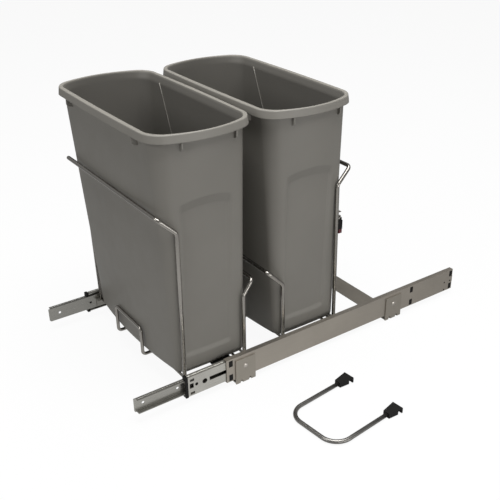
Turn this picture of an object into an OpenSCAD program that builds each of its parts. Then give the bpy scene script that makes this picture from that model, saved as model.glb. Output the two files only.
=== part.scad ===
// Pull out frame with two waste bins, shown drawn part of the way out.
// Front of the unit faces -Y, up is +Z, the floor is z = 0 and x = 0 is the middle plane.
// The origin is the middle of the pattern of the four floor screw holes.

/* [Side rails] */
// Length of each side rail along the pull direction
rail_len = 560; // [540:5:600]
// Height of each side rail
rail_h = 45.3; // [45:0.1:47]
// Distance from the middle plane to the outer face of a side rail
rail_x = 183.6; // [182:0.2:190]
// Height of the underside of the rails above the floor
rail_lift = 10; // [8:0.5:14]

/* [Slides] */
// How far the carriage stands open in the shown position
open_by = 169; // [120:1:200]
// Depth of one slide from the rail's outer face to the carriage side
slide_depth = 12.7; // [12.5:0.1:13]
// Height of the middle slide member
middle_h = 38.6; // [38:0.1:39]
// Height of the runner, the slide member that carries the cage
runner_h = 27.2; // [26.6:0.1:27.6]

/* [Wire cage] */
// Diameter of the cage wire
wire_d = 7; // [6:0.1:7.2]
// Diameter of the low cross wires that the bins stand on
cross_wire_d = 5; // [4.5:0.1:6]
// Height of the outer loops, at the middle of the wire
outer_loop_z = 342; // [300:1:360]
// Height of the inner loops, at the middle of the wire
inner_loop_z = 184; // [150:1:220]
// Radius of the bends in the cage wire, at the middle of the wire
bend_r = 9; // [6:0.5:12]

/* [Bins] */
// Distance between the middles of the two bins
bin_pitch = 201.3; // [199:0.1:206]
// Height of a bin's rim above the floor
bin_top = 473; // [450:1:490]
// Length of a bin's rim from side to side, without the bulge of its short sides
rim_len = 336.8; // [330:0.2:337]
// Width of a bin's rim from front to back, without the bulge of its long sides
rim_w = 183; // [178:0.5:184]
// Thickness of a bin's walls
bin_wall = 2.5; // [2:0.1:3.5]

/* [Handle] */
// Diameter of the handle rod
rod_d = 7.5; // [6:0.1:7.8]
// Distance between the handle's legs
handle_w = 112; // [90:1:120]
// Length of the handle from its cross part to the clips
handle_len = 118; // [100:1:130]

/* [Hidden] */
$fn = 32;

// The y values of the feet and of all pieces are counted from the rails' front end.
foot_front_y = 38.5;
foot_rear_y = 391.5;
foot_w = 41;
foot_h = 48.5;
foot_t = 2;
foot_flange = 26;
foot_hole_x = rail_x + foot_t - 19;
foot_hole_r = 2.6;
rail_front = -(foot_front_y + foot_rear_y) / 2;
slide_z = rail_lift + rail_h / 2;
sheet = 1.2;
big = 1000;

// The middle members float between the rails and the runners, and the left one has run a
// little further out than the right one. The share is the part of the carriage's travel.
function middle_share(s) = s > 0 ? 0.5 : 0.55;
function middle_front(s) = (s > 0 ? 9.5 : 1) - open_by * middle_share(s);
middle_len = 548;
middle_gap = 1.9;
runner_tongue = 4;
runner_back = 559 - open_by;
function runner_front(s) = -open_by - (s > 0 ? 1.5 : 6.5);
runner_flange = 8.6;
runner_holes = [for (y = [15, 79]) y - open_by];
stop_h = 41.6;
stop_len = 5;

// Ball races
outer_ball_r = 1.4;
inner_ball_r = 2.4;
outer_race_z = (rail_h / 2 - sheet + middle_h / 2) / 2;
inner_race_z = (middle_h / 2 - sheet + runner_h / 2) / 2;
outer_race_d = 6;
inner_race_d = 7.6;
race_play = 0.15;
cage_len = 224;
function outer_cage_front(s) = (s > 0 ? 156 : 169.5) - open_by * middle_share(s) / 2;
function inner_cage_front(s) = 155 - open_by * (1 + middle_share(s)) / 2;
cage_sheet = 0.6;
outer_cage_web = 0.3;
balls_per_row = 9;
ball_step = (cage_len - 30) / (balls_per_row - 1);

// Rivets
rivet_r = 2.4;
rivet_head_r = 4.6;
hole_play = 0.1;

// Carriage
bracket_t = 2;
bracket_z = 20;
bracket_top = 36.8;
bracket_in = 11;
bracket_front = -78;
bracket_len = 344;
bracket_rivet_y = [-40, 90, 230];
bracket_rivet_z = 28;
wire_r = wire_d / 2;
carriage_x = rail_x - slide_depth;
wire_foot_x = carriage_x - 8.4;
bin_base = bracket_top + cross_wire_d;
cross_wire_y = [33.5, 234, 248];
tie_r = 2.4;
stop_r = 3;

// Bins
bin_front_y = -16.3;
bin_rear_y = bin_front_y + bin_pitch;
bin_front_x = -1.8;
rim_h = 13.8;
rim_bulge_x = 22.6;
rim_bulge_y = 3.1;
rim_corner = 24;
top_len = rim_len - 11.6;
top_w = rim_w - 18.6;
top_bulge_x = 24;
top_bulge_y = 1.8;
top_corner = 20;
base_len = 305.6;
base_w = 132.8;
base_bulge_x = 1.2;
base_bulge_front = 11.6;
base_bulge_rear = 6;
base_corner = 15;
base_shift = [5, 8.4];
base_edge = [[0, 4.6], [1.6, 2.1], [6.5, 0]];
skirt_t = 2.2;
recess_y = -2.5;
recess_half_w = 45;
recess_low = 78;
recess_shoulder = 357;
recess_arch = 9;
recess_depth = 4;
fin_y = [-44.5, 50.5];
fin_x = 118;
fin_t = 2.4;
fin_drop = 14;

// Handle
handle_x = 354.4;
handle_y = 104.5;
handle_turn = 5.6;
rod_z = 4.4;
rod_bend = 31;
clip_l = 29;
clip_w0 = 13;
clip_w1 = 22;
clip_h = 9.8;
clip_socket = 12;
clip_groove = 23;
groove_r = wire_r + 0.2;

// Places a piece whose y values are counted from the rail's front end.
module unit() {
    translate([0, rail_front, 0]) children();
}

// Repeats a piece that is drawn on the right side on the side that is asked for.
module on_side(s) {
    if (s > 0) children();
    else mirror([1, 0, 0]) children();
}

// Pulls a flat drawing in x and z along y, from y0 over the length l.
module along_y(y0, l) {
    translate([0, y0 + l, 0]) rotate([90, 0, 0]) linear_extrude(l) children();
}

// A channel's outline, open towards the middle (turn = 1) or the outside (turn = -1).
// d0 and d1 are the distances of its web side and its open side from the rail's outer face.
module channel_2d(d0, d1, h, turn, t = sheet) {
    x1 = rail_x - d0;
    x2 = rail_x - d1;
    difference() {
        translate([x2, slide_z - h / 2]) square([x1 - x2, h]);
        translate([turn > 0 ? x2 - 1 : x2 + t, slide_z - h / 2 + t])
            square([x1 - x2 - t + 1, h - 2 * t]);
    }
}

// Two round grooves that the balls roll in, cut at the race height above and below.
module grooves_2d(race_z, d, r) {
    for (k = [-1, 1]) translate([rail_x - d, slide_z + k * race_z]) circle(r + race_play);
}

// A rectangular hole through a side wall, between two heights and two y values.
module wall_slot(y1, y2, z1, z2) {
    translate([rail_x - big / 2, y1, z1]) cube([big, y2 - y1, z2 - z1]);
}

// A round hole across a side wall.
module wall_hole(y, z, r) {
    translate([rail_x - 40, y, z]) rotate([0, 90, 0]) cylinder(h = 80, r = r);
}

// Windows and small holes in a rail's web. Each window is [y, z], its lower front corner, and
// each hole the place of its middle.
window_w = 8;
window_h = 12.7;
windows = [for (y = [5, 437, 550.4], z = [1.6, 29.9]) [y, rail_lift + z]];
small_holes = [[554, 30], [538, 30], [538, 13]];
small_hole_r = 1.9;

module rail(s) {
    color([0.60, 0.57, 0.52]) unit() on_side(s) difference() {
        along_y(0, rail_len) difference() {
            channel_2d(0, 9.5, rail_h, 1);
            grooves_2d(outer_race_z, outer_race_d, outer_ball_r);
        }
        for (w = windows) wall_slot(w[0], w[0] + window_w, w[1], w[1] + window_h);
        for (y = [foot_front_y, foot_rear_y]) wall_hole(y, slide_z, rivet_r + hole_play);
        for (p = small_holes) wall_hole(p[0], p[1], small_hole_r);
    }
}

// Thin plastic plugs that close the windows and small holes of both rails.
module rail_plugs() {
    play = 0.03;
    plug_t = 0.9;
    color([0.10, 0.10, 0.10]) unit() for (s = [-1, 1]) on_side(s) translate([rail_x - sheet, 0, 0]) {
        for (w = windows) translate([0, w[0] + play, w[1] + play])
            cube([plug_t, window_w - 2 * play, window_h - 2 * play]);
        for (p = small_holes) translate([0, p[0], p[1]]) rotate([0, 90, 0])
            cylinder(h = plug_t, r = small_hole_r - play);
    }
}

// A foot: an upright ear on the rail's outer face and a pad on the floor that turns in under
// the rail, with two bend notches between them and a screw hole in the pad.
module foot_shape(y) {
    difference() {
        union() {
            translate([rail_x, y - foot_w / 2, 0]) cube([foot_t, foot_w, foot_h]);
            translate([rail_x + foot_t - foot_flange, y - foot_w / 2 + 1, 0])
                cube([foot_flange, foot_w - 2, foot_t]);
        }
        for (k = [-9, 9]) {
            translate([rail_x - 1, y + k - 2.5, -1]) cube([foot_t + 2, 5, 4]);
            translate([rail_x - 1, y + k, 3]) rotate([0, 90, 0]) cylinder(h = foot_t + 2, r = 2.5);
        }
        translate([foot_hole_x, y, -1]) cylinder(h = foot_t + 2, r = foot_hole_r);
        wall_hole(y, slide_z, rivet_r + hole_play);
    }
}

module foot(s) {
    color([0.62, 0.59, 0.54]) unit() on_side(s) foot_shape(foot_front_y);
}

// Rear feet and the flat strip between them, which lies a little forward of their middles.
module rear_cross_member() {
    tie_x = rail_x + foot_t - foot_flange;
    strip_front = 23.5;
    strip_w = 40.5;
    color([0.50, 0.47, 0.42]) unit() {
        for (s = [-1, 1]) on_side(s) foot_shape(foot_rear_y);
        translate([-tie_x, foot_rear_y - strip_front, 0]) cube([2 * tie_x, strip_w, foot_t]);
    }
}

// A rivet through the ear and the rail's web, with a low domed head outside.
module rivet(s, y) {
    on_side(s) translate([rail_x + foot_t, y, slide_z]) rotate([0, 90, 0]) {
        translate([0, 0, -foot_t - sheet]) cylinder(h = foot_t + sheet, r = rivet_r);
        intersection() {
            cylinder(h = 1.8, r = rivet_head_r);
            translate([0, 0, -5.4]) sphere(r = 7.2, $fn = 48);
        }
    }
}

module rail_rivets() {
    color([0.72, 0.70, 0.66]) unit()
        for (s = [-1, 1], y = [foot_front_y, foot_rear_y]) rivet(s, y);
}

// Plastic stop in the rear end of each rail that the closed slide comes to rest on.
module rail_rear_stops() {
    color([0.12, 0.12, 0.12]) unit() for (s = [-1, 1]) on_side(s)
        translate([rail_x - sheet - 9, rail_len - 0.8, slide_z - rail_h / 2 + 15.4])
            cube([9, 2.6, 14]);
}

// Middle member: a channel open towards the carriage, with the slots in its front end.
module middle_slide(s) {
    front = middle_front(s);
    color([0.68, 0.67, 0.64]) unit() on_side(s) difference() {
        along_y(front, middle_len) difference() {
            channel_2d(middle_gap, 11.4, middle_h, 1);
            grooves_2d(outer_race_z, outer_race_d, outer_ball_r);
            grooves_2d(inner_race_z, inner_race_d, inner_ball_r);
        }
        wall_slot(front + 3, front + 10.5, slide_z - 4.2, slide_z + 5.2);
        wall_slot(front + 4, front + 12, slide_z + 9.4, slide_z + 14.6);
        wall_slot(front + 4, front + 12.5, slide_z - 17, slide_z - 12);
        wall_hole(front + 16.5, slide_z + 0.6, 3);
        wall_hole(front + 32.5, slide_z, 4.8);
        wall_slot(front + 42, front + 76, slide_z - 3, slide_z + 4.4);
    }
}

// Plastic stop clipped on the front end of the middle member.
module middle_stop(s) {
    color([0.13, 0.13, 0.13]) unit() on_side(s)
        along_y(middle_front(s) - stop_len, stop_len) difference() {
            translate([rail_x - 11.4, slide_z - stop_h / 2]) square([9.8, stop_h]);
            translate([rail_x - 12.4, slide_z - runner_h / 2 - 0.9]) square([9.2, runner_h + 1.8]);
        }
}

module outer_ball_cage(s) {
    front = outer_cage_front(s);
    arm_z = outer_race_z;
    color([0.75, 0.75, 0.73]) unit() on_side(s) difference() {
        along_y(front, cage_len) {
            translate([rail_x - 1.7, slide_z - arm_z]) square([outer_cage_web, 2 * arm_z]);
            for (k = [-1, 1]) translate([rail_x - 8.6, slide_z + k * arm_z - cage_sheet / 2])
                square([7.2, cage_sheet]);
        }
        for (k = [0 : balls_per_row - 1]) translate([rail_x - outer_race_d, ball_y(front, k), 0])
            cylinder(h = 100, r = outer_ball_r + 0.1);
    }
}

module inner_ball_cage(s) {
    front = inner_cage_front(s);
    arm_z = inner_race_z;
    color([0.75, 0.75, 0.73]) unit() on_side(s) difference() {
        along_y(front, cage_len) {
            translate([rail_x - 3.9, slide_z - arm_z]) square([cage_sheet, 2 * arm_z]);
            for (k = [-1, 1]) translate([rail_x - 11, slide_z + k * arm_z - cage_sheet / 2])
                square([7.6, cage_sheet]);
        }
        for (k = [0 : balls_per_row - 1]) translate([rail_x - inner_race_d, ball_y(front, k), 0])
            cylinder(h = 100, r = inner_ball_r + 0.1);
    }
}

function ball_y(front, k) = front + 15 + k * ball_step;

// Two rows of balls, above and below, at one race.
module balls(s, front, d, race_z, r) {
    color([0.80, 0.80, 0.80]) unit() on_side(s)
        for (k = [0 : balls_per_row - 1], up = [-1, 1])
            translate([rail_x - d, ball_y(front, k), slide_z + up * race_z]) sphere(r = r);
}

module outer_balls(s) { balls(s, outer_cage_front(s), outer_race_d, outer_race_z, outer_ball_r); }
module inner_balls(s) { balls(s, inner_cage_front(s), inner_race_d, inner_race_z, inner_ball_r); }

// Runner: a channel open towards the rail, whose web carries the cage.
module runner(s) {
    front = runner_front(s);
    color([0.70, 0.69, 0.66]) unit() on_side(s) difference() {
        along_y(front, runner_back - front) difference() {
            channel_2d(slide_depth - runner_flange, slide_depth, runner_h, -1);
            grooves_2d(inner_race_z, inner_race_d, inner_ball_r);
        }
        translate([carriage_x + sheet, front - 1, slide_z - runner_h])
            cube([20, runner_tongue + 1, 2 * runner_h]);
        translate([carriage_x, front, slide_z - runner_h / 2]) difference() {
            translate([-1, -1, -1]) cube([20, runner_tongue + 1, runner_tongue + 1]);
            translate([-2, runner_tongue, runner_tongue]) rotate([0, 90, 0])
                cylinder(h = 22, r = runner_tongue);
        }
        for (y = runner_holes) wall_hole(y, slide_z, rivet_r + hole_play);
        for (y = bracket_rivet_y) wall_hole(y, bracket_rivet_z, rivet_r + hole_play);
    }
}

module runner_rivets() {
    color([0.74, 0.73, 0.70]) unit() for (s = [-1, 1], y = bracket_rivet_y) on_side(s)
        translate([carriage_x - bracket_t, y, bracket_rivet_z]) rotate([0, 90, 0]) {
            cylinder(h = bracket_t + sheet, r = rivet_r);
            translate([0, 0, -1.2]) cylinder(h = 1.2, r = 4);
        }
}

// Angle bracket along each runner; the cage wires stand on its upper leg.
module side_bracket(s) {
    color([0.42, 0.41, 0.39]) unit() on_side(s) difference() {
        along_y(bracket_front, bracket_len) {
            translate([carriage_x - bracket_t, bracket_z]) square([bracket_t, bracket_top - bracket_z]);
            translate([carriage_x - bracket_in, bracket_top - bracket_t]) square([bracket_in, bracket_t]);
        }
        for (y = bracket_rivet_y) wall_hole(y, bracket_rivet_z, rivet_r + hole_play);
    }
}

// Bends are a hair thicker than the straight parts, which reach a little way into them.
lap = 0.4;
lap_skin = 0.03;

function unit_of(v) = v / norm(v);
function turn_of(p, q, r) = acos(unit_of(q - p) * unit_of(r - q));
function trim_of(p, q, r, bend) = bend * tan(turn_of(p, q, r) / 2);

// Places a piece with its x, y and z axes along u, v and w and its origin at p.
module axes_at(u, v, w, p) {
    multmatrix([for (i = [0 : 2]) [u[i], v[i], w[i], p[i]]]) children();
}

// A round bar between two points. It runs into the bends at both ends by a short lap.
module bar(p0, q0, r, lap0 = lap, lap1 = lap) {
    p = p0 - unit_of(q0 - p0) * lap0;
    q = q0 + unit_of(q0 - p0) * lap1;
    w = unit_of(q - p);
    side = abs(w[2]) < 0.9 ? [0, 0, 1] : [1, 0, 0];
    u = unit_of(cross(side, w));
    v = cross(w, u);
    axes_at(u, v, w, p)
        cylinder(h = norm(q - p), r = r);
}

// The bend at q of a wire that runs from p through q to s.
module elbow(p, q, s, bend, r) {
    a = unit_of(q - p);
    b = unit_of(s - q);
    n = unit_of(b - (a * b) * a);
    c = q - a * trim_of(p, q, s, bend) + n * bend;
    w = cross(-n, a);
    axes_at(-n, a, w, c)
        rotate_extrude(angle = turn_of(p, q, s)) translate([bend, 0]) circle(r + lap_skin);
}

// A round wire through a list of points, bent to one radius at each inner point.
module bent_wire(pts, bend, r) {
    last = len(pts) - 1;
    for (i = [0 : last - 1]) {
        way = unit_of(pts[i + 1] - pts[i]);
        start = i == 0 ? 0 : trim_of(pts[i - 1], pts[i], pts[i + 1], bend);
        stop = i == last - 1 ? 0 : trim_of(pts[i], pts[i + 1], pts[i + 2], bend);
        bar(pts[i] + way * start, pts[i + 1] - way * stop, r, i == 0 ? 0 : lap, i == last - 1 ? 0 : lap);
    }
    for (i = [1 : last - 1]) elbow(pts[i - 1], pts[i], pts[i + 1], bend, r);
}

// A cage loop goes from its right foot up to the first bend, over the flare to the cross part
// and down to its left foot. Its three points on one side are given as [x, y, z], and a tie bar
// under the bin joins the two feet.
function reverse_of(v) = [for (i = [len(v) - 1 : -1 : 0]) v[i]];
function mirror_of(v) = [for (p = reverse_of(v)) [-p[0], p[1], p[2]]];

module cage_loop(y_foot, flare, across) {
    right = [[wire_foot_x, y_foot, bracket_top], flare, across];
    color([0.45, 0.43, 0.40]) unit() {
        bent_wire(concat(right, mirror_of(right)), bend_r, wire_r);
        translate([-wire_foot_x, y_foot, bin_base - tie_r]) rotate([0, 90, 0])
            cylinder(h = 2 * wire_foot_x, r = tie_r);
    }
}

module front_loop() {
    cage_loop(-70, [170, -72, outer_loop_z - 29], [166, -101.5, outer_loop_z]);
}
module front_bin_back_loop() {
    cage_loop(51, [166.5, 49, inner_loop_z - 23], [162, 71, inner_loop_z]);
}
module rear_bin_front_loop() {
    cage_loop(135.5, [166.5, 132.5, inner_loop_z - 30], [162, 103, inner_loop_z]);
}
module rear_loop() {
    cage_loop(255, [173.2, 244.2, outer_loop_z - 25], [166, 277, outer_loop_z]);
}

// Low cross wires that the bins stand on; they lie across the brackets.
module base_wires() {
    half_l = wire_foot_x + 3;
    r = cross_wire_d / 2;
    color([0.30, 0.29, 0.28]) unit() for (y = cross_wire_y)
        translate([-half_l, y, bracket_top + r]) rotate([0, 90, 0]) cylinder(h = 2 * half_l, r = r);
}

// Cross plate under the front bin, with feet at its ends that stand on the brackets.
module base_plate() {
    plate_t = 2.5;
    plate_w = 38;
    half_l = wire_foot_x + 3;
    color([0.14, 0.14, 0.14]) unit() translate([0, -13, 0]) {
        translate([-half_l, 0, bin_base - plate_t]) cube([2 * half_l, plate_w, plate_t]);
        for (s = [-1, 1]) on_side(s) translate([half_l - 4, 0, bracket_top])
            cube([4, plate_w, cross_wire_d - plate_t]);
    }
}

// Wire that runs under both bins and stands up as a small loop in front of the front bin,
// where it keeps that bin from sliding forward.
module front_stop_wire() {
    y_up = -91.2;
    y_back = 252;
    x_left = -44;
    x_right = 52;
    z_low = bracket_top - stop_r + 0.1;
    z_top = 88;
    color([0.45, 0.43, 0.40]) unit()
        bent_wire([[x_right, y_back, z_low], [x_right, y_up, z_low], [x_right, y_up, z_top],
                   [x_left, y_up, z_top], [x_left, y_up, z_low], [x_left, y_back, z_low]], 7, stop_r);
}

// Latch on the rear loop's right upright: a small wire hook, and under it a plastic block with
// a tab below.
latch_x = 169.8;
latch_y = 249.4;
latch_z = 221.5;
latch_w = 7;
latch_deep = 9.4;
latch_block_z = latch_z + 8;
module cage_latch() {
    color([0.10, 0.10, 0.10]) unit()
        translate([latch_x - latch_w / 2, latch_y, latch_block_z]) cube([latch_w, latch_deep, 17]);
}

module latch_hook() {
    hook_z = latch_z + 34;
    color([0.45, 0.43, 0.40]) unit()
        bent_wire([[latch_x, latch_y - 2.4, hook_z], [latch_x, latch_y + 9, hook_z],
                   [latch_x, latch_y + 2.8, hook_z - 6.4]], 2, 1.3);
}

module latch_tab() {
    color([0.45, 0.06, 0.06]) unit() translate([latch_x - latch_w / 2 + 0.5, latch_y + 2, latch_z])
        cube([latch_w - 1, latch_deep - 2.4, latch_block_z - latch_z]);
}

// Outline of a bin at one height: a rounded rectangle whose sides bow outward.
function arc_points(cx, cy, r, from) =
    [for (t = [0 : 15 : 90]) [cx + r * cos(from + t), cy + r * sin(from + t)]];
function side_points(p, q) = [for (k = [1 : 5]) p + (q - p) * k / 6];
function bow(p, a, b, sx, sy) = [
    p[0] + sign(p[0]) * sx * (1 - pow(p[1] / b, 2)) * pow(p[0] / a, 2),
    p[1] + sign(p[1]) * (p[1] < 0 ? sy[0] : sy[1]) * (1 - pow(p[0] / a, 2)) * pow(p[1] / b, 2)];
function corner(a, b, r, k) =
    arc_points((k == 0 || k == 3 ? 1 : -1) * (a - r), (k < 2 ? 1 : -1) * (b - r), r, 90 * k);
function bin_outline(a, b, r, sx, sy) = [
    for (k = [0 : 3]) let (c = corner(a, b, r, k), d = corner(a, b, r, (k + 1) % 4))
        for (p = concat(c, side_points(c[len(c) - 1], d[0]))) bow(p, a, b, sx, sy)];

// The body's outline at a share of its height, drawn in by some distance. The base stands a
// little behind the rim, and its long sides bow more in front than behind.
function mix(a, b, t) = a + (b - a) * t;
module bin_slice(t, inset) {
    a = mix(base_len, top_len, t) / 2 - inset;
    b = mix(base_w, top_w, t) / 2 - inset;
    translate(base_shift * (1 - t)) polygon(bin_outline(a, b, mix(base_corner, top_corner, t) - inset / 2,
        mix(base_bulge_x, top_bulge_x, t),
        [mix(base_bulge_front, top_bulge_y, t), mix(base_bulge_rear, top_bulge_y, t)]));
}

// The body as one convex block, drawn in by some distance, between two heights. Its rounded
// bottom edge is given by heights and how far the outline is drawn in there.
body_top = bin_top - rim_h;
module bin_block(inset, z0, z1) {
    share = function(z) (z - bin_base) / (body_top - bin_base);
    hull() {
        for (k = base_edge) translate([0, 0, z0 + k[0]]) linear_extrude(0.01)
            bin_slice(share(z0 + k[0]), inset + k[1]);
        translate([0, 0, z1]) linear_extrude(0.01) bin_slice(share(z1), inset);
    }
}

module rim_outline(inset) {
    polygon(bin_outline(rim_len / 2 - inset, rim_w / 2 - inset, rim_corner - inset,
        rim_bulge_x, [rim_bulge_y, rim_bulge_y]));
}

// The rolled rim: a flat top, a skirt outside and fins under it.
module bin_rim() {
    difference() {
        translate([0, 0, body_top - 0.01]) linear_extrude(rim_h + 0.01) rim_outline(0);
        translate([0, 0, body_top - 1]) linear_extrude(rim_h - bin_wall + 1) difference() {
            rim_outline(skirt_t);
            bin_slice(1, 0);
        }
        translate([0, 0, body_top - 1]) linear_extrude(rim_h + 2) bin_slice(1, bin_wall);
    }
}

module bin_fin(x, y, size_x, size_y) {
    translate([x - size_x / 2, y - size_y / 2, body_top - fin_drop]) cube([size_x, size_y, fin_drop + 4]);
}

module bin_fins() {
    for (sx = [-1, 1], y = fin_y) bin_fin(sx * (rim_len / 2 + 6), y, 24, fin_t);
    for (sy = [-1, 1], x = [-fin_x, fin_x]) bin_fin(x, sy * (rim_w / 2 - 8), fin_t, 18);
}

// What is taken off each short side for a shallow panel with an arched top. Grown by the
// wall's thickness and drawn in as far, it keeps the wall as thick behind the panel.
module bin_recess(grow) {
    half = recess_half_w + grow;
    arch_r = (half * half + recess_arch * recess_arch) / (2 * recess_arch);
    difference() {
        translate([0, recess_y, 0]) rotate([90, 0, 90]) linear_extrude(rim_len + 60, center = true) {
            translate([-half, recess_low - grow]) square([2 * half, recess_shoulder - recess_low + 2 * grow]);
            intersection() {
                translate([0, recess_shoulder + grow + recess_arch - arch_r]) circle(arch_r, $fn = 96);
                translate([-half, recess_shoulder]) square([2 * half, 40]);
            }
        }
        bin_block(recess_depth + grow, bin_base - 1, body_top);
    }
}

module bin() {
    color([0.43, 0.42, 0.40]) {
        difference() {
            union() {
                difference() {
                    bin_block(0, bin_base, body_top);
                    bin_recess(0);
                }
                intersection() {
                    bin_fins();
                    translate([0, 0, body_top - 60]) linear_extrude(62) rim_outline(0);
                }
            }
            difference() {
                bin_block(bin_wall, bin_base + 3, body_top + 1);
                bin_recess(bin_wall);
            }
            translate([0, 0, body_top - 0.5]) linear_extrude(rim_h) bin_slice(1, bin_wall);
        }
        bin_rim();
    }
}

module front_bin() { unit() translate([bin_front_x, bin_front_y, 0]) bin(); }
module rear_bin() { unit() translate([0, bin_rear_y, 0]) bin(); }

// The loose handle lies flat on the floor beside the right rail.
module handle_place() {
    unit() translate([handle_x, handle_y, 0]) rotate([0, 0, handle_turn]) children();
}

module handle_rod() {
    half = handle_w / 2;
    back = handle_len / 2 + clip_socket;
    color([0.36, 0.35, 0.34]) handle_place()
        bent_wire([[-half, back, rod_z], [-half, -handle_len / 2, rod_z],
                   [half, -handle_len / 2, rod_z], [half, back, rod_z]], rod_bend, rod_d / 2);
}

// A snap-on clip: a wedge with a socket for the rod in its narrow end and, behind, a hook
// with a groove across it that snaps over the cage's front wire.
module handle_clip(s) {
    color([0.12, 0.12, 0.12]) handle_place() translate([s * handle_w / 2, handle_len / 2, 0]) difference() {
        linear_extrude(clip_h) polygon([[-clip_w0 / 2, 0], [clip_w0 / 2, 0],
                                        [clip_w1 / 2, clip_l], [-clip_w1 / 2, clip_l]]);
        translate([0, -1, rod_z]) rotate([-90, 0, 0]) cylinder(h = clip_socket + 1.5, r = rod_d / 2 + 0.05);
        translate([-clip_w1, clip_groove, rod_z]) rotate([0, 90, 0]) cylinder(h = 2 * clip_w1, r = groove_r);
        translate([-clip_w1, clip_groove - groove_r, -1]) cube([2 * clip_w1, 2 * groove_r, rod_z + 1]);
    }
}

rail(1);  // right_rail
rail(-1);  // left_rail
foot(1);  // front_foot_right
foot(-1);  // front_foot_left
rear_cross_member();
rail_rivets();
rail_plugs();
rail_rear_stops();
middle_slide(1);  // middle_slide_right
middle_slide(-1);  // middle_slide_left
middle_stop(1);  // middle_stop_right
middle_stop(-1);  // middle_stop_left
outer_ball_cage(1);  // outer_ball_cage_right
outer_ball_cage(-1);  // outer_ball_cage_left
outer_balls(1);  // outer_balls_right
outer_balls(-1);  // outer_balls_left
inner_ball_cage(1);  // inner_ball_cage_right
inner_ball_cage(-1);  // inner_ball_cage_left
inner_balls(1);  // inner_balls_right
inner_balls(-1);  // inner_balls_left
runner(1);  // runner_right
runner(-1);  // runner_left
runner_rivets();
side_bracket(1);  // side_bracket_right
side_bracket(-1);  // side_bracket_left
front_loop();
front_bin_back_loop();
rear_bin_front_loop();
rear_loop();
base_wires();
base_plate();
front_stop_wire();
cage_latch();
latch_hook();
latch_tab();
front_bin();
rear_bin();
handle_rod();
handle_clip(1);  // handle_clip_right
handle_clip(-1);  // handle_clip_left
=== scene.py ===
import math
import bpy
from mathutils import Matrix, Vector


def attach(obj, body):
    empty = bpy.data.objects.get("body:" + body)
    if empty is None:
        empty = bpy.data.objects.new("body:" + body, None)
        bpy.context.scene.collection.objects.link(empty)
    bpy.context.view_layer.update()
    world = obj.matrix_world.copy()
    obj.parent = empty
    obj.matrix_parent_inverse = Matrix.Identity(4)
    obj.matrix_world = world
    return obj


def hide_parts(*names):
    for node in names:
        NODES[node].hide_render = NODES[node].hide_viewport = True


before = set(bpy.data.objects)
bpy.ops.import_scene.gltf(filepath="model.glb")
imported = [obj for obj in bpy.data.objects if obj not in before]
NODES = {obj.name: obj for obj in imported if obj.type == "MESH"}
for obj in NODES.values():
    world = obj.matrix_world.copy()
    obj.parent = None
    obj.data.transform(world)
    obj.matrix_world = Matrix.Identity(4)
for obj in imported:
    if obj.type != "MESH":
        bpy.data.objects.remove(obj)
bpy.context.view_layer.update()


# All lengths below are in millimetres, with y counted from the rails' front ends.
MM = 0.001
RAIL_FRONT = -215.0


def place(x, y, z):
    return Vector((x * MM, (y + RAIL_FRONT) * MM, z * MM))


# Material helpers
NOISE_SPAN = (0.3, 0.7)


def principled(name, colour, rough, metallic=0.0, specular=0.5):
    mat = bpy.data.materials.new(name)
    mat.use_nodes = True
    tree = mat.node_tree
    shader = tree.nodes["Principled BSDF"]
    shader.inputs["Base Color"].default_value = (*colour, 1.0)
    shader.inputs["Roughness"].default_value = rough
    shader.inputs["Metallic"].default_value = metallic
    shader.inputs["Specular IOR Level"].default_value = specular
    return mat, tree, shader


def add(tree, kind, **settings):
    """A new node; each setting is an input's value or, failing that, a property."""
    node = tree.nodes.new(kind)
    for key, value in settings.items():
        if key in node.inputs:
            node.inputs[key].default_value = value
        else:
            setattr(node, key, value)
    return node


def map_range(tree, source, from_span, to_span):
    """The source's value, carried from one span over to another."""
    node = add(tree, "ShaderNodeMapRange")
    node.inputs["From Min"].default_value, node.inputs["From Max"].default_value = from_span
    node.inputs["To Min"].default_value, node.inputs["To Max"].default_value = to_span
    tree.links.new(source, node.inputs["Value"])
    return node.outputs["Result"]


def noise(tree, scale, stretch=(1.0, 1.0, 1.0), detail=3.0):
    coord = add(tree, "ShaderNodeTexCoord")
    mapping = add(tree, "ShaderNodeMapping", Scale=stretch)
    tree.links.new(coord.outputs["Object"], mapping.inputs["Vector"])
    tex = add(tree, "ShaderNodeTexNoise", Scale=scale, Detail=detail)
    tree.links.new(mapping.outputs["Vector"], tex.inputs["Vector"])
    return tex


def vary_colour(tree, shader, tex, colour, amount):
    ramp = add(tree, "ShaderNodeValToRGB")
    low = [max(0.0, c * (1.0 - amount)) for c in colour]
    high = [min(1.0, c * (1.0 + amount)) for c in colour]
    for element, position, shade in zip(ramp.color_ramp.elements, NOISE_SPAN, (low, high)):
        element.position = position
        element.color = (*shade, 1.0)
    tree.links.new(tex.outputs["Fac"], ramp.inputs["Fac"])
    tree.links.new(ramp.outputs["Color"], shader.inputs["Base Color"])


def vary_rough(tree, shader, tex, low, high):
    tree.links.new(map_range(tree, tex.outputs["Fac"], NOISE_SPAN, (low, high)), shader.inputs["Roughness"])


def bump(tree, shader, tex, strength, distance):
    node = add(tree, "ShaderNodeBump", Strength=strength, Distance=distance)
    tree.links.new(tex.outputs["Fac"], node.inputs["Height"])
    tree.links.new(node.outputs["Normal"], shader.inputs["Normal"])


STREAK_SCALE = 900.0
METAL_CLOUD_SCALE = 14.0


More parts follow.
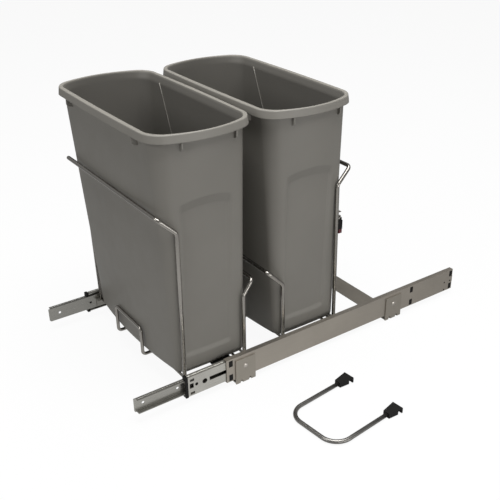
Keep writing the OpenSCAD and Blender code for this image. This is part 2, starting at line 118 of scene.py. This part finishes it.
def steel(name, colour, rough, stretch, metallic=0.85, amount=0.05):
    """Rolled or drawn metal: fine streaks along the direction it was worked in."""
    mat, tree, shader = principled(name, colour, rough, metallic)
    streaks = noise(tree, STREAK_SCALE, stretch)
    vary_colour(tree, shader, noise(tree, METAL_CLOUD_SCALE), colour, amount)
    vary_rough(tree, shader, streaks, rough - 0.05, rough + 0.07)
    bump(tree, shader, streaks, strength=0.08, distance=0.0002)
    return mat


PLASTIC_CLOUD_SCALE = 9.0
SHINE_SCALE = 40.0


def plastic(name, colour, rough, grain=2200.0, strength=0.12, amount=0.03, specular=0.5):
    """Moulded plastic: a fine grain in the surface and a faint cloudiness in the colour."""
    mat, tree, shader = principled(name, colour, rough, specular=specular)
    vary_colour(tree, shader, noise(tree, PLASTIC_CLOUD_SCALE), colour, amount)
    vary_rough(tree, shader, noise(tree, SHINE_SCALE), rough - 0.03, rough + 0.03)
    bump(tree, shader, noise(tree, grain, detail=1.0), strength, distance=0.0001)
    return mat


INSIDE = "inside"
# Share of the base colour kept on the bins' insides: painted shade
INSIDE_PAINTED_SHADE = 0.60


def paint_inside_shade(mat):
    """Painted shade: the inside of a bin gets a darker base colour than its outside, standing in for the
    shade inside it; the mesh marks the inside with an attribute.
    """
    tree = mat.node_tree
    base = tree.nodes["Principled BSDF"].inputs["Base Color"]
    mark = add(tree, "ShaderNodeAttribute", attribute_name=INSIDE)
    shade = map_range(tree, mark.outputs["Fac"], (0.0, 1.0), (1.0, INSIDE_PAINTED_SHADE))
    scale = add(tree, "ShaderNodeVectorMath", operation="SCALE")
    tree.links.new(base.links[0].from_socket, scale.inputs[0])
    tree.links.new(shade, scale.inputs["Scale"])
    tree.links.new(scale.outputs["Vector"], base)


# Materials
ALONG_X = (0.02, 1.0, 1.0)
ALONG_Y = (1.0, 0.02, 1.0)
ALONG_Z = (1.0, 1.0, 0.05)
ALL_WAYS = (1.0, 1.0, 1.0)
RAIL = steel("rail_steel", (0.340, 0.310, 0.268), 0.40, ALONG_Y)
PLATE = steel("plate_steel", (0.300, 0.275, 0.236), 0.45, ALONG_X)
SLIDE = steel("slide_steel", (0.440, 0.430, 0.395), 0.30, ALONG_Y)
RUNNER = steel("runner_steel", (0.330, 0.323, 0.297), 0.28, ALONG_Y)
RIVET = steel("rivet_steel", (0.42, 0.39, 0.35), 0.32, ALL_WAYS)
STRIP = steel("cage_strip", (0.45, 0.45, 0.43), 0.28, ALONG_Y)
BALL = steel("ball_steel", (0.62, 0.62, 0.61), 0.12, ALL_WAYS, metallic=1.0, amount=0.01)
WIRE = steel("wire_nickel", (0.285, 0.270, 0.247), 0.22, ALONG_Z, metallic=1.0)
ROD = steel("rod_nickel", (0.176, 0.170, 0.159), 0.32, ALONG_Y, metallic=0.95)
BRACKET = steel("bracket_steel", (0.32, 0.31, 0.28), 0.40, ALONG_Y)
BLACK = plastic("black_plastic", (0.008, 0.0077, 0.0073), 0.55, specular=0.14)
RED = plastic("red_plastic", (0.085, 0.006, 0.012), 0.40)
BIN = plastic("bin_polymer", (0.222, 0.211, 0.188), 0.50, grain=1500.0, strength=0.18, specular=0.35)
# Painted shade on the bins' insides: their base colour is darkened there
paint_inside_shade(BIN)


# Mesh helpers
def mesh_object(name, verts, faces, material, smooth=True):
    mesh = bpy.data.meshes.new(name)
    mesh.from_pydata([tuple(v) for v in verts], [], faces)
    mesh.validate()
    mesh.update()
    if smooth:
        mesh.shade_smooth()
    obj = bpy.data.objects.new(name, mesh)
    bpy.context.scene.collection.objects.link(obj)
    obj.data.materials.append(material)
    return obj


BEVEL_SEGMENTS = 2
BEVEL_ANGLE = math.radians(35.0)


def bevel(obj, width):
    mod = obj.modifiers.new("edges", "BEVEL")
    mod.width = width * MM
    mod.segments = BEVEL_SEGMENTS
    mod.limit_method = "ANGLE"
    mod.angle_limit = BEVEL_ANGLE
    mod.harden_normals = True


def swept_faces(rings, n):
    """Faces between rings of n points each, and one face over each end."""
    faces = []
    for i in range(rings - 1):
        for j in range(n):
            a, b = i * n + j, i * n + (j + 1) % n
            faces.append((a, b, b + n, a + n))
    faces.append(tuple(range(n - 1, -1, -1)))
    faces.append(tuple((rings - 1) * n + j for j in range(n)))
    return faces


def wire_path(points, bend, steps):
    """The wire's middle line: straight runs joined by arcs of one radius."""
    path = [points[0]]
    for before, here, after in zip(points, points[1:], points[2:]):
        u = (here - before).normalized()
        v = (after - here).normalized()
        angle = math.acos(max(-1.0, min(1.0, u.dot(v))))
        if bend == 0.0 or angle < 1e-4:
            path.append(here)
            continue
        start = here - u * (bend * math.tan(angle / 2))
        normal = (v - u * v.dot(u)).normalized()
        centre = start + normal * bend
        for k in range(steps + 1):
            t = angle * k / steps
            path.append(centre - normal * (bend * math.cos(t)) + u * (bend * math.sin(t)))
    path.append(points[-1])
    return path


def tube(name, points, bend, radius, material, sides=24, steps=10):
    """A round wire swept along its middle line, with flat ends."""
    path = wire_path(points, bend * MM, steps)
    verts = []
    side = (path[1] - path[0]).normalized().orthogonal().normalized()
    for i, middle in enumerate(path):
        before, after = path[max(i - 1, 0)], path[min(i + 1, len(path) - 1)]
        along = (after - before).normalized()
        side = (side - along * side.dot(along)).normalized()
        up = along.cross(side)
        for j in range(sides):
            a = 2 * math.pi * j / sides
            verts.append(middle + (side * math.cos(a) + up * math.sin(a)) * (radius * MM))
    return mesh_object(name, verts, swept_faces(len(path), sides), material)


def join(name, objects):
    """One object from several made here."""
    keep = objects[0]
    with bpy.context.temp_override(active_object=keep, selected_editable_objects=objects,
                                   selected_objects=objects):
        bpy.ops.object.join()
    keep.name = name
    keep.data.name = name
    return keep


# Pieces that keep the frame's own mesh
def pair(name):
    return [name + "_right", name + "_left"]


for material, names in (
    (RAIL, ["right_rail", "left_rail"]),
    (PLATE, pair("front_foot") + ["rear_cross_member"]),
    (RIVET, ["rail_rivets", "runner_rivets"]),
    (SLIDE, pair("middle_slide")),
    (RUNNER, pair("runner")),
    (STRIP, pair("outer_ball_cage") + pair("inner_ball_cage")),
    (BALL, pair("outer_balls") + pair("inner_balls")),
    (BRACKET, pair("side_bracket")),
    (WIRE, ["base_wires", "latch_hook"]),
    (BLACK, pair("middle_stop") + pair("handle_clip") + ["rail_rear_stops", "rail_plugs"]),
    (BLACK, ["base_plate", "cage_latch"]),
    (RED, ["latch_tab"]),
):
    for name in names:
        NODES[name].data.materials.clear()
        NODES[name].data.materials.append(material)

for width, names in (
    (0.1, ["rail_plugs"]),
    (0.3, pair("middle_slide") + pair("runner")),
    (0.35, ["right_rail", "left_rail"]),
    (0.4, pair("front_foot") + pair("side_bracket") + ["rear_cross_member", "base_plate"]),
    (0.5, pair("middle_stop") + ["rail_rear_stops"]),
    (0.8, ["latch_tab", "cage_latch"]),
    (1.4, pair("handle_clip")),
):
    for name in names:
        bevel(NODES[name], width)

# Cage wires
WIRE_R = 3.5
BEND_R = 9.0
BRACKET_TOP = 36.8
CROSS_WIRE_D = 5.0
BIN_BASE = BRACKET_TOP + CROSS_WIRE_D
FOOT_X = 162.5
TIE_R = 2.4

# Each loop has its feet's y, its right flare, and the right end of the run across.
LOOPS = {
    "front_loop": (-70, (170, -72, 313), (166, -101.5, 342)),
    "front_bin_back_loop": (51, (166.5, 49, 161), (162, 71, 184)),
    "rear_bin_front_loop": (135.5, (166.5, 132.5, 154), (162, 103, 184)),
    "rear_loop": (255, (173.2, 244.2, 317), (166, 277, 342)),
}


def loop_points(y_foot, flare, across):
    """One cage loop, from its right foot over the flare and across to its left foot."""
    half = [(FOOT_X, y_foot, BRACKET_TOP), flare, across]
    full = half + [(-x, y, z) for x, y, z in reversed(half)]
    return [place(*p) for p in full]


for name, (y_foot, flare, across) in LOOPS.items():
    loop = tube(name + "_wire", loop_points(y_foot, flare, across), BEND_R, WIRE_R, WIRE)
    tie_ends = [place(x, y_foot, BIN_BASE - TIE_R) for x in (-FOOT_X, FOOT_X)]
    tie = tube(name + "_tie", tie_ends, 0.0, TIE_R, WIRE)
    piece = join(name + "_bent", [loop, tie])
    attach(piece, "carriage")
    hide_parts(name)

# Front stop wire
STOP_R = 3.0
STOP_BEND_R = 7.0
STOP_RIGHT = 52.0
STOP_LEFT = -44.0
STOP_FRONT = -91.2
STOP_REAR = 252.0
STOP_TOP = 88.0
STOP_LOW = BRACKET_TOP - STOP_R + 0.1


def stop_points():
    """From the rear under the bins to the front, up, across, and back to the rear."""
    half = [(STOP_REAR, STOP_LOW), (STOP_FRONT, STOP_LOW), (STOP_FRONT, STOP_TOP)]
    right = [place(STOP_RIGHT, y, z) for y, z in half]
    left = [place(STOP_LEFT, y, z) for y, z in reversed(half)]
    return right + left


stop = tube("front_stop_bent", stop_points(), STOP_BEND_R, STOP_R, WIRE)
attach(stop, "carriage")
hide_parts("front_stop_wire")

# Handle
HANDLE_X = 354.4
HANDLE_Y = 104.5
HANDLE_TURN = math.radians(5.6)
ROD_R = 3.75
ROD_Z = 4.4
ROD_HALF = 56.0
ROD_FRONT = -59.0
ROD_REAR = 71.0
ROD_BEND_R = 31.0


def handle_place(x, y, z):
    """A place counted from the handle's middle, as the handle lies turned on the floor."""
    c, s = math.cos(HANDLE_TURN), math.sin(HANDLE_TURN)
    return place(HANDLE_X + x * c - y * s, HANDLE_Y + x * s + y * c, z)


rod_ends = ((-ROD_HALF, ROD_REAR), (-ROD_HALF, ROD_FRONT), (ROD_HALF, ROD_FRONT), (ROD_HALF, ROD_REAR))
rod_line = [handle_place(x, y, ROD_Z) for x, y in rod_ends]
rod = tube("handle_rod_bent", rod_line, ROD_BEND_R, ROD_R, ROD, steps=16)
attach(rod, "handle")
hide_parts("handle_rod")

# Bins: the body. Pairs hold the value at its base and at its top.
BIN_TOP = 473.0
RIM_H = 13.8
BODY_TOP = BIN_TOP - RIM_H
WALL = 2.5
FLOOR_T = 3.0
BASE_R = 6.5
INNER_BASE_R = 9.0
HALF_LENGTH = (152.8, 162.6)
HALF_WIDTH = (66.4, 82.2)
CORNER_R = (15.0, 20.0)
SIDE_BULGE = (1.2, 24.0)
FRONT_BULGE = (11.6, 1.8)
REAR_BULGE = (6.0, 1.8)
BASE_RIGHT = 5.0
BASE_BACK = 8.4

# The shallow arched panel in both short sides
PANEL_Y = -2.5
PANEL_HALF = 45.0
PANEL_LOW = 78.0
PANEL_SHOULDER = 357.0
PANEL_ARCH = 9.0
PANEL_SLOPE = 15.0
PANEL_DEPTH = (1.8, 5.0)
PANEL_SIDE_BLEND = 4.0
PANEL_LOW_BLEND = 12.0
PANEL_MARGIN = 8.0

# The rim: its outline, roundings, draft and skirt, and how far the wall inside it leans out
RIM_HALF_LENGTH = 168.4
RIM_HALF_WIDTH = 91.5
RIM_CORNER_R = 24.0
RIM_SIDE_BULGE = 22.6
RIM_LONG_BULGE = 3.1
RIM_OUT_R = 2.2
RIM_IN_R = 1.5
RIM_DRAFT = 1.5
RIM_LEAN = (1.5, 3.4)
RIM_LEAN_H = 12.0
SKIRT = 2.2
SKIRT_EDGE = 0.6
SKIRT_INNER_EDGE = (0.5, 0.4)

# How finely the bins are cut up
CORNER_STEPS = 10
LONG_STEPS = 26
SHORT_STEPS = 40
FINE_STEP = 1.5
COARSE_STEP = 11.0
FINE_SPANS = ((PANEL_LOW - 8, PANEL_LOW + 8), (PANEL_SHOULDER - 20, PANEL_SHOULDER + 12))


def mix(a, b, t):
    return a + (b - a) * t


def smooth_step(t):
    t = max(0.0, min(1.0, t))
    return t * t * (3 - 2 * t)


def quarter(steps):
    """Pairs that go round a quarter circle: (1 - cos, sin) from 0 to a right angle."""
    angles = [math.pi / 2 * k / steps for k in range(steps + 1)]
    return [(1 - math.cos(a), math.sin(a)) for a in angles]


def bow(p, a, b, sx, sy):
    """Bows a rounded rectangle's sides out: sy is the amount in front and behind."""
    x, y = p
    return (x + math.copysign(sx, x) * (1 - (y / b) ** 2) * (x / a) ** 2,
            y + (-sy[0] if y < 0 else sy[1]) * (1 - (x / a) ** 2) * (y / b) ** 2)


def corner_point(k, a, b, r, angle):
    """A point on a corner's arc. Corner 0 is at +x and +y, and the others follow anticlockwise."""
    cx = (1 if k in (0, 3) else -1) * (a - r)
    cy = (1 if k < 2 else -1) * (b - r)
    return cx + r * math.cos(angle), cy + r * math.sin(angle)


def outline(a, b, r, sx, sy):
    """A rounded rectangle of half sizes a and b, with bowed sides."""
    pts = []
    for k in range(4):
        turns = [math.pi / 2 * (k + i / CORNER_STEPS) for i in range(CORNER_STEPS + 1)]
        arc = [corner_point(k, a, b, r, turn) for turn in turns]
        n = (k + 1) % 4
        (x0, y0), (x1, y1) = arc[-1], corner_point(n, a, b, r, math.pi / 2 * n)
        steps = LONG_STEPS if k % 2 == 0 else SHORT_STEPS
        pts += arc + [(mix(x0, x1, i / steps), mix(y0, y1, i / steps)) for i in range(1, steps)]
    return [bow(p, a, b, sx, sy) for p in pts]


def height_share(z):
    return (z - BIN_BASE) / (BODY_TOP - BIN_BASE)


def panel_depth(y, z):
    """How far the panel of a short side lies behind the wall."""
    off = abs(y - PANEL_Y)
    arch = PANEL_SHOULDER + PANEL_ARCH * (1 - (off / PANEL_HALF) ** 2)
    side = smooth_step((PANEL_HALF + 1 - off) / PANEL_SIDE_BLEND)
    top = max(0.0, min(1.0, (arch - z) / PANEL_SLOPE))
    low = smooth_step((z - PANEL_LOW + PANEL_LOW_BLEND / 2) / PANEL_LOW_BLEND)
    return mix(*PANEL_DEPTH, height_share(z)) * side * top * low


def body_sizes(t):
    """Half length, half width, corner radius and bulges of the body's outline."""
    return (mix(*HALF_LENGTH, t), mix(*HALF_WIDTH, t), mix(*CORNER_R, t), mix(*SIDE_BULGE, t),
            (mix(*FRONT_BULGE, t), mix(*REAR_BULGE, t)))


def body_ring(z, inset, panel=True, lean=0.0):
    """The body's outline. Inside the rim the wall leans outward by a share of RIM_LEAN."""
    t = height_share(min(z, BODY_TOP))
    a, b, r, sx, sy = body_sizes(t)
    a, b = a - inset + RIM_LEAN[0] * lean, b - inset + RIM_LEAN[1] * lean
    out = []
    for x, y in outline(a, b, r - inset / 2, sx, sy):
        y += BASE_BACK * (1 - t)
        if panel and abs(x) > a - PANEL_MARGIN:
            x -= math.copysign(panel_depth(y, z), x)
        out.append((x + BASE_RIGHT * (1 - t), y, z))
    return out


def rim_ring(z, inset):
    ring = outline(RIM_HALF_LENGTH - inset, RIM_HALF_WIDTH - inset, RIM_CORNER_R - inset,
                   RIM_SIDE_BULGE, (RIM_LONG_BULGE, RIM_LONG_BULGE))
    return [(x, y, z) for x, y in ring]


def skirt_ring(up):
    """The skirt's outline at a height above its lower edge; it draws in towards the top."""
    return rim_ring(BODY_TOP + up, RIM_DRAFT * up / (RIM_H - RIM_OUT_R))


def levels(low, high):
    """Heights from low to high, close together where the side panel begins and ends."""
    out = [low]
    while out[-1] < high - 1e-6:
        fine = any(start - COARSE_STEP < out[-1] < end for start, end in FINE_SPANS)
        out.append(min(high, out[-1] + (FINE_STEP if fine else COARSE_STEP)))
    return out


def outer_rings():
    """The outside, from the rounded base up to the rim's underside."""
    base = [body_ring(BIN_BASE + BASE_R * c, BASE_R * (1 - s), False) for c, s in quarter(5)]
    return base + [body_ring(z, 0) for z in levels(BIN_BASE + 8, BODY_TOP)]


def rim_rings():
    """The rim: up inside the skirt, down to its lower edge, up its outside and over the top."""
    under = BIN_TOP - WALL
    edge_in, edge_up = SKIRT_INNER_EDGE
    rings = [
        body_ring(under - SKIRT_EDGE, 0, lean=0.9),
        body_ring(under, -SKIRT_EDGE / 2, lean=0.95),
        rim_ring(under, RIM_DRAFT + SKIRT + SKIRT_EDGE / 2),
        rim_ring(under - SKIRT_EDGE, RIM_DRAFT + SKIRT),
        rim_ring(BODY_TOP + edge_up, SKIRT),
        rim_ring(BODY_TOP, SKIRT - edge_in),
        rim_ring(BODY_TOP, SKIRT_EDGE),
        skirt_ring(SKIRT_EDGE),
        skirt_ring(SKIRT_EDGE + 1.0),
        skirt_ring(RIM_H - RIM_OUT_R - 0.8),
    ]
    rings += [rim_ring(BIN_TOP - RIM_OUT_R * (1 - s), RIM_DRAFT + RIM_OUT_R * c) for c, s in quarter(5)]
    rings += [body_ring(BIN_TOP - RIM_IN_R * c, WALL - RIM_IN_R * (1 - s), lean=1.0) for c, s in quarter(4)]
    return rings


def inner_rings():
    """The inside, from the leaning wall at the rim down to the rounded floor."""
    lean = [body_ring(BIN_TOP - RIM_IN_R - RIM_LEAN_H * k / 4, WALL, lean=1 - k / 4) for k in (1, 2, 3)]
    wall = [body_ring(z, WALL) for z in reversed(levels(BIN_BASE + 13, BODY_TOP))]
    base = [body_ring(BIN_BASE + FLOOR_T + INNER_BASE_R * c, WALL + INNER_BASE_R * (1 - s), False)
            for c, s in quarter(6)]
    return lean + wall + base[::-1]


def bin_mesh(name, cx, cy):
    """The whole shell as one closed surface, with its inside marked for the material's painted shade."""
    before = outer_rings() + rim_rings()
    rings = before + inner_rings()
    n = len(rings[0])
    verts = [place(x + cx, y + cy, z) for ring in rings for x, y, z in ring]
    obj = mesh_object(name, verts, swept_faces(len(rings), n), BIN)
    # Marks the inside, where the material paints shade into the base colour
    mark = obj.data.attributes.new(INSIDE, "FLOAT", "POINT")
    mark.data.foreach_set("value", [float(i // n >= len(before)) for i in range(len(verts))])
    return obj


def wall_at(z, side, along):
    """Distance of the outer wall from the bin's middle towards one side, at a height and a
    place along that side. A side is its axis and its sign."""
    t = height_share(z)
    a, b, r, sx, sy = body_sizes(t)
    axis, sign = side
    if axis == "x":
        return a + sx * (1 - (along / b) ** 2) + sign * BASE_RIGHT * (1 - t)
    return b + (sy[0] if sign < 0 else sy[1]) * (1 - (along / a) ** 2) + sign * BASE_BACK * (1 - t)


# Ribs under the rim
FIN_T = 2.4
FIN_UP = 4.0
FIN_DOWN = 14.0
FIN_STRAIGHT = 5.0
FIN_TIP = 1.2
FIN_ON_SHORT = (-44.5, 50.5)
FIN_ON_LONG = (-118.0, 118.0)


def fin_profile(side, along):
    """A rib's outline, as distances from the bin's middle and heights."""
    if side[0] == "x":
        half, bulge, span = RIM_HALF_LENGTH, RIM_SIDE_BULGE, RIM_HALF_WIDTH
    else:
        half, bulge, span = RIM_HALF_WIDTH, RIM_LONG_BULGE, RIM_HALF_LENGTH
    top, tip = BODY_TOP + FIN_UP, BODY_TOP - FIN_DOWN
    outer = half + bulge * (1 - (along / span) ** 2) - SKIRT
    edge = outer + SKIRT - SKIRT_EDGE
    wall_top, wall_low = wall_at(BODY_TOP, side, along), wall_at(tip, side, along)
    return [(wall_top, top), (outer, top), (outer, BODY_TOP + 0.2), (edge, BODY_TOP - 0.3),
            (edge, tip + FIN_STRAIGHT), (mix(wall_low, edge, 0.6), tip + FIN_TIP),
            (wall_low - FIN_TIP, tip)]


def fins(name, cx, cy):
    """Thin ribs: as wide as the overhang at the top, they taper down to the wall."""
    verts, faces = [], []
    for axis, places in (("x", FIN_ON_SHORT), ("y", FIN_ON_LONG)):
        for sign, along in ((s, p) for s in (1, -1) for p in places):
            profile = fin_profile((axis, sign), along)
            base, n = len(verts), len(profile)
            for d in (-FIN_T / 2, FIN_T / 2):
                for far, z in profile:
                    x, y = (sign * far, along + d) if axis == "x" else (along + d, sign * far)
                    verts.append(place(x + cx, y + cy, z))
            faces.append(tuple(base + i for i in range(n)))
            faces.append(tuple(base + n + i for i in reversed(range(n))))
            for i in range(n):
                j = (i + 1) % n
                faces.append((base + j, base + i, base + n + i, base + n + j))
    return mesh_object(name, verts, faces, BIN, smooth=False)


CREASE_R = 0.9
CREASE_LOW = 300.0
CREASE_STEPS = 8


def crease(name, cx, cy, x_top, x_low):
    """A thin raised line on the inside of the rear wall, from the rim slanting down."""
    line = []
    for k in range(CREASE_STEPS + 1):
        t = k / CREASE_STEPS
        z, x = mix(BIN_TOP - RIM_LEAN_H, CREASE_LOW, t), mix(x_top, x_low, t)
        y = wall_at(min(z, BODY_TOP), ("y", 1), x) - WALL
        line.append(place(x + cx, y + cy - 0.1, z))
    return tube(name, line, 0.0, CREASE_R, BIN, sides=10)


FRONT_BIN_X = -1.8
FRONT_BIN_Y = -16.3
BIN_PITCH = 201.3

for name, cx, cy, crease_ends in (("front_bin", FRONT_BIN_X, FRONT_BIN_Y, (-111.0, -45.0)),
                                  ("rear_bin", 0.0, FRONT_BIN_Y + BIN_PITCH, (-110.0, -42.0))):
    shell = join(name + "_moulded", [bin_mesh(name + "_shell", cx, cy), fins(name + "_fins", cx, cy),
                                     crease(name + "_crease", cx, cy, *crease_ends)])
    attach(shell, name)
    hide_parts(name)

# Camera, where the photo was taken from. Its lens is counted in the photo's pixels.
CAMERA_AT = (1132.36, -586.98, 841.47)
AZ, EL, ROLL = math.radians(53.52), math.radians(27.38), math.radians(0.17)
PHOTO_PX = 500
FOCAL_PX = 791.07
CENTRE_PX = (280.63, 252.2)
SENSOR = 36.0


def look_rotation():
    back = Vector((math.sin(AZ) * math.cos(EL), -math.cos(AZ) * math.cos(EL), math.sin(EL)))
    level = Vector((math.cos(AZ), math.sin(AZ), 0.0))
    upright = back.cross(level)
    right = level * math.cos(ROLL) + upright * math.sin(ROLL)
    up = upright * math.cos(ROLL) - level * math.sin(ROLL)
    return Matrix((right, up, back)).transposed().to_4x4()


def photo_camera():
    data = bpy.data.cameras.new("camera")
    data.sensor_width = SENSOR
    data.lens = FOCAL_PX / PHOTO_PX * SENSOR
    data.shift_x = -(CENTRE_PX[0] - PHOTO_PX / 2) / PHOTO_PX
    data.shift_y = (CENTRE_PX[1] - PHOTO_PX / 2) / PHOTO_PX
    data.clip_start = 0.05
    data.clip_end = 60.0
    camera = bpy.data.objects.new("camera", data)
    camera.matrix_world = Matrix.Translation(place(*CAMERA_AT)) @ look_rotation()
    bpy.context.scene.collection.objects.link(camera)
    bpy.context.scene.camera = camera


photo_camera()


# Lamps and a dark board, with places in metres and powers in watts
def area_light(name, spot, target, size, power):
    data = bpy.data.lights.new(name, "AREA")
    data.shape = "RECTANGLE"
    data.size, data.size_y = size
    data.energy = power
    obj = bpy.data.objects.new(name, data)
    obj.location = spot
    obj.rotation_euler = (Vector(target) - Vector(spot)).to_track_quat("-Z", "Y").to_euler()
    bpy.context.scene.collection.objects.link(obj)


area_light("top", spot=(0.35, -0.05, 2.6), target=(0.0, 0.0, 0.2), size=(1.8, 1.8), power=95)
area_light("right", spot=(1.7, 0.1, 0.26), target=(0.0, 0.1, 0.26), size=(1.6, 0.4), power=9)
area_light("front", spot=(0.2, -2.4, 1.5), target=(0.0, 0.0, 0.25), size=(1.2, 1.0), power=18)


def dark_card(spot, size, target):
    """A matt dark board that only the metal's reflections see."""
    mat, tree, shader = principled("dark_card", (0.02, 0.02, 0.02), 1.0, specular=0.0)
    bpy.ops.mesh.primitive_plane_add(size=1.0, location=spot)
    card = bpy.context.object
    card.name = "dark_card"
    card.scale = (*size, 1.0)
    card.rotation_euler = (Vector(target) - Vector(spot)).to_track_quat("Z", "Y").to_euler()
    card.data.materials.append(mat)
    card.visible_camera = False
    card.visible_diffuse = False
    card.visible_shadow = False


dark_card(spot=(-1.9, 1.4, 1.25), size=(2.6, 1.6), target=(0.0, 0.0, 0.1))

# White background
WHITE = (1.0, 1.0, 1.0, 1.0)
SKY_COLOUR = (0.98, 0.985, 1.0, 1.0)
SKY_STRENGTH = 0.02
SKY_IN_METAL = 0.4
PAINT = (0.33, 0.33, 0.33, 1.0)
FLOOR_GLOW = 1.09
FLOOR_GLOW_SHARE = 0.86
FLOOR_SIZE = 40.0
FLOOR_Z = -0.0005
# A painted pool of light on the floor, seen only in the metal's reflections
POOL_MIDDLE = (0.25, -0.38, 0.0)
POOL_REACH = (0.10, 0.75)
POOL_SHARE = (0.85, 0.15)


def painted_pool_of_light(tree):
    """A painted pool of light: the floor's brightness in reflections, most beside the drawn out runner and
    falling off away from it.
    """
    coord = add(tree, "ShaderNodeTexCoord")
    away = add(tree, "ShaderNodeVectorMath", operation="DISTANCE")
    away.inputs[1].default_value = POOL_MIDDLE
    tree.links.new(coord.outputs["Object"], away.inputs[0])
    return map_range(tree, away.outputs["Value"], POOL_REACH, POOL_SHARE)


def sees_background(tree, in_metal=None):
    """1 for rays from the camera or through a clear surface, and a share for rays from metal.
    The share is a fixed one, or the floor's painted pool of light where none is given."""
    path = add(tree, "ShaderNodeLightPath")
    straight = add(tree, "ShaderNodeMath", operation="MAXIMUM")
    part = add(tree, "ShaderNodeMath", operation="MULTIPLY")
    both = add(tree, "ShaderNodeMath", operation="MAXIMUM")
    if in_metal is None:
        tree.links.new(painted_pool_of_light(tree), part.inputs[1])
    else:
        part.inputs[1].default_value = in_metal
    tree.links.new(path.outputs["Is Camera Ray"], straight.inputs[0])
    tree.links.new(path.outputs["Is Transmission Ray"], straight.inputs[1])
    tree.links.new(path.outputs["Is Glossy Ray"], part.inputs[0])
    tree.links.new(straight.outputs[0], both.inputs[0])
    tree.links.new(part.outputs[0], both.inputs[1])
    return both.outputs[0]


def empty_tree(owner):
    """The owner's node tree without its first nodes."""
    owner.use_nodes = True
    for old in list(owner.node_tree.nodes):
        owner.node_tree.nodes.remove(old)
    return owner.node_tree


def blend_into(tree, share, plain, bright, output):
    """Shows the bright shader by its share, and the plain one for the rest."""
    blend = add(tree, "ShaderNodeMixShader")
    out = add(tree, output)
    tree.links.new(share, blend.inputs[0])
    tree.links.new(plain.outputs[0], blend.inputs[1])
    tree.links.new(bright.outputs[0], blend.inputs[2])
    tree.links.new(blend.outputs[0], out.inputs["Surface"])


def white_world():
    world = bpy.data.worlds.new("studio")
    bpy.context.scene.world = world
    tree = empty_tree(world)
    dim = add(tree, "ShaderNodeBackground", Color=SKY_COLOUR, Strength=SKY_STRENGTH)
    white = add(tree, "ShaderNodeBackground", Color=WHITE, Strength=1.0)
    blend_into(tree, sees_background(tree, SKY_IN_METAL), dim, white, "ShaderNodeOutputWorld")


def white_floor():
    mat = bpy.data.materials.new("floor")
    tree = empty_tree(mat)
    paint = add(tree, "ShaderNodeBsdfDiffuse", Color=PAINT)
    glow = add(tree, "ShaderNodeEmission", Color=WHITE, Strength=FLOOR_GLOW)
    share = add(tree, "ShaderNodeMath", operation="MULTIPLY")
    share.inputs[1].default_value = FLOOR_GLOW_SHARE
    tree.links.new(sees_background(tree), share.inputs[0])
    blend_into(tree, share.outputs[0], paint, glow, "ShaderNodeOutputMaterial")
    bpy.ops.mesh.primitive_plane_add(size=FLOOR_SIZE, location=(0.0, 0.0, FLOOR_Z))
    floor = bpy.context.object
    floor.name = "floor"
    floor.data.materials.append(mat)


white_world()
white_floor()

bpy.context.scene.view_settings.view_transform = "Standard"
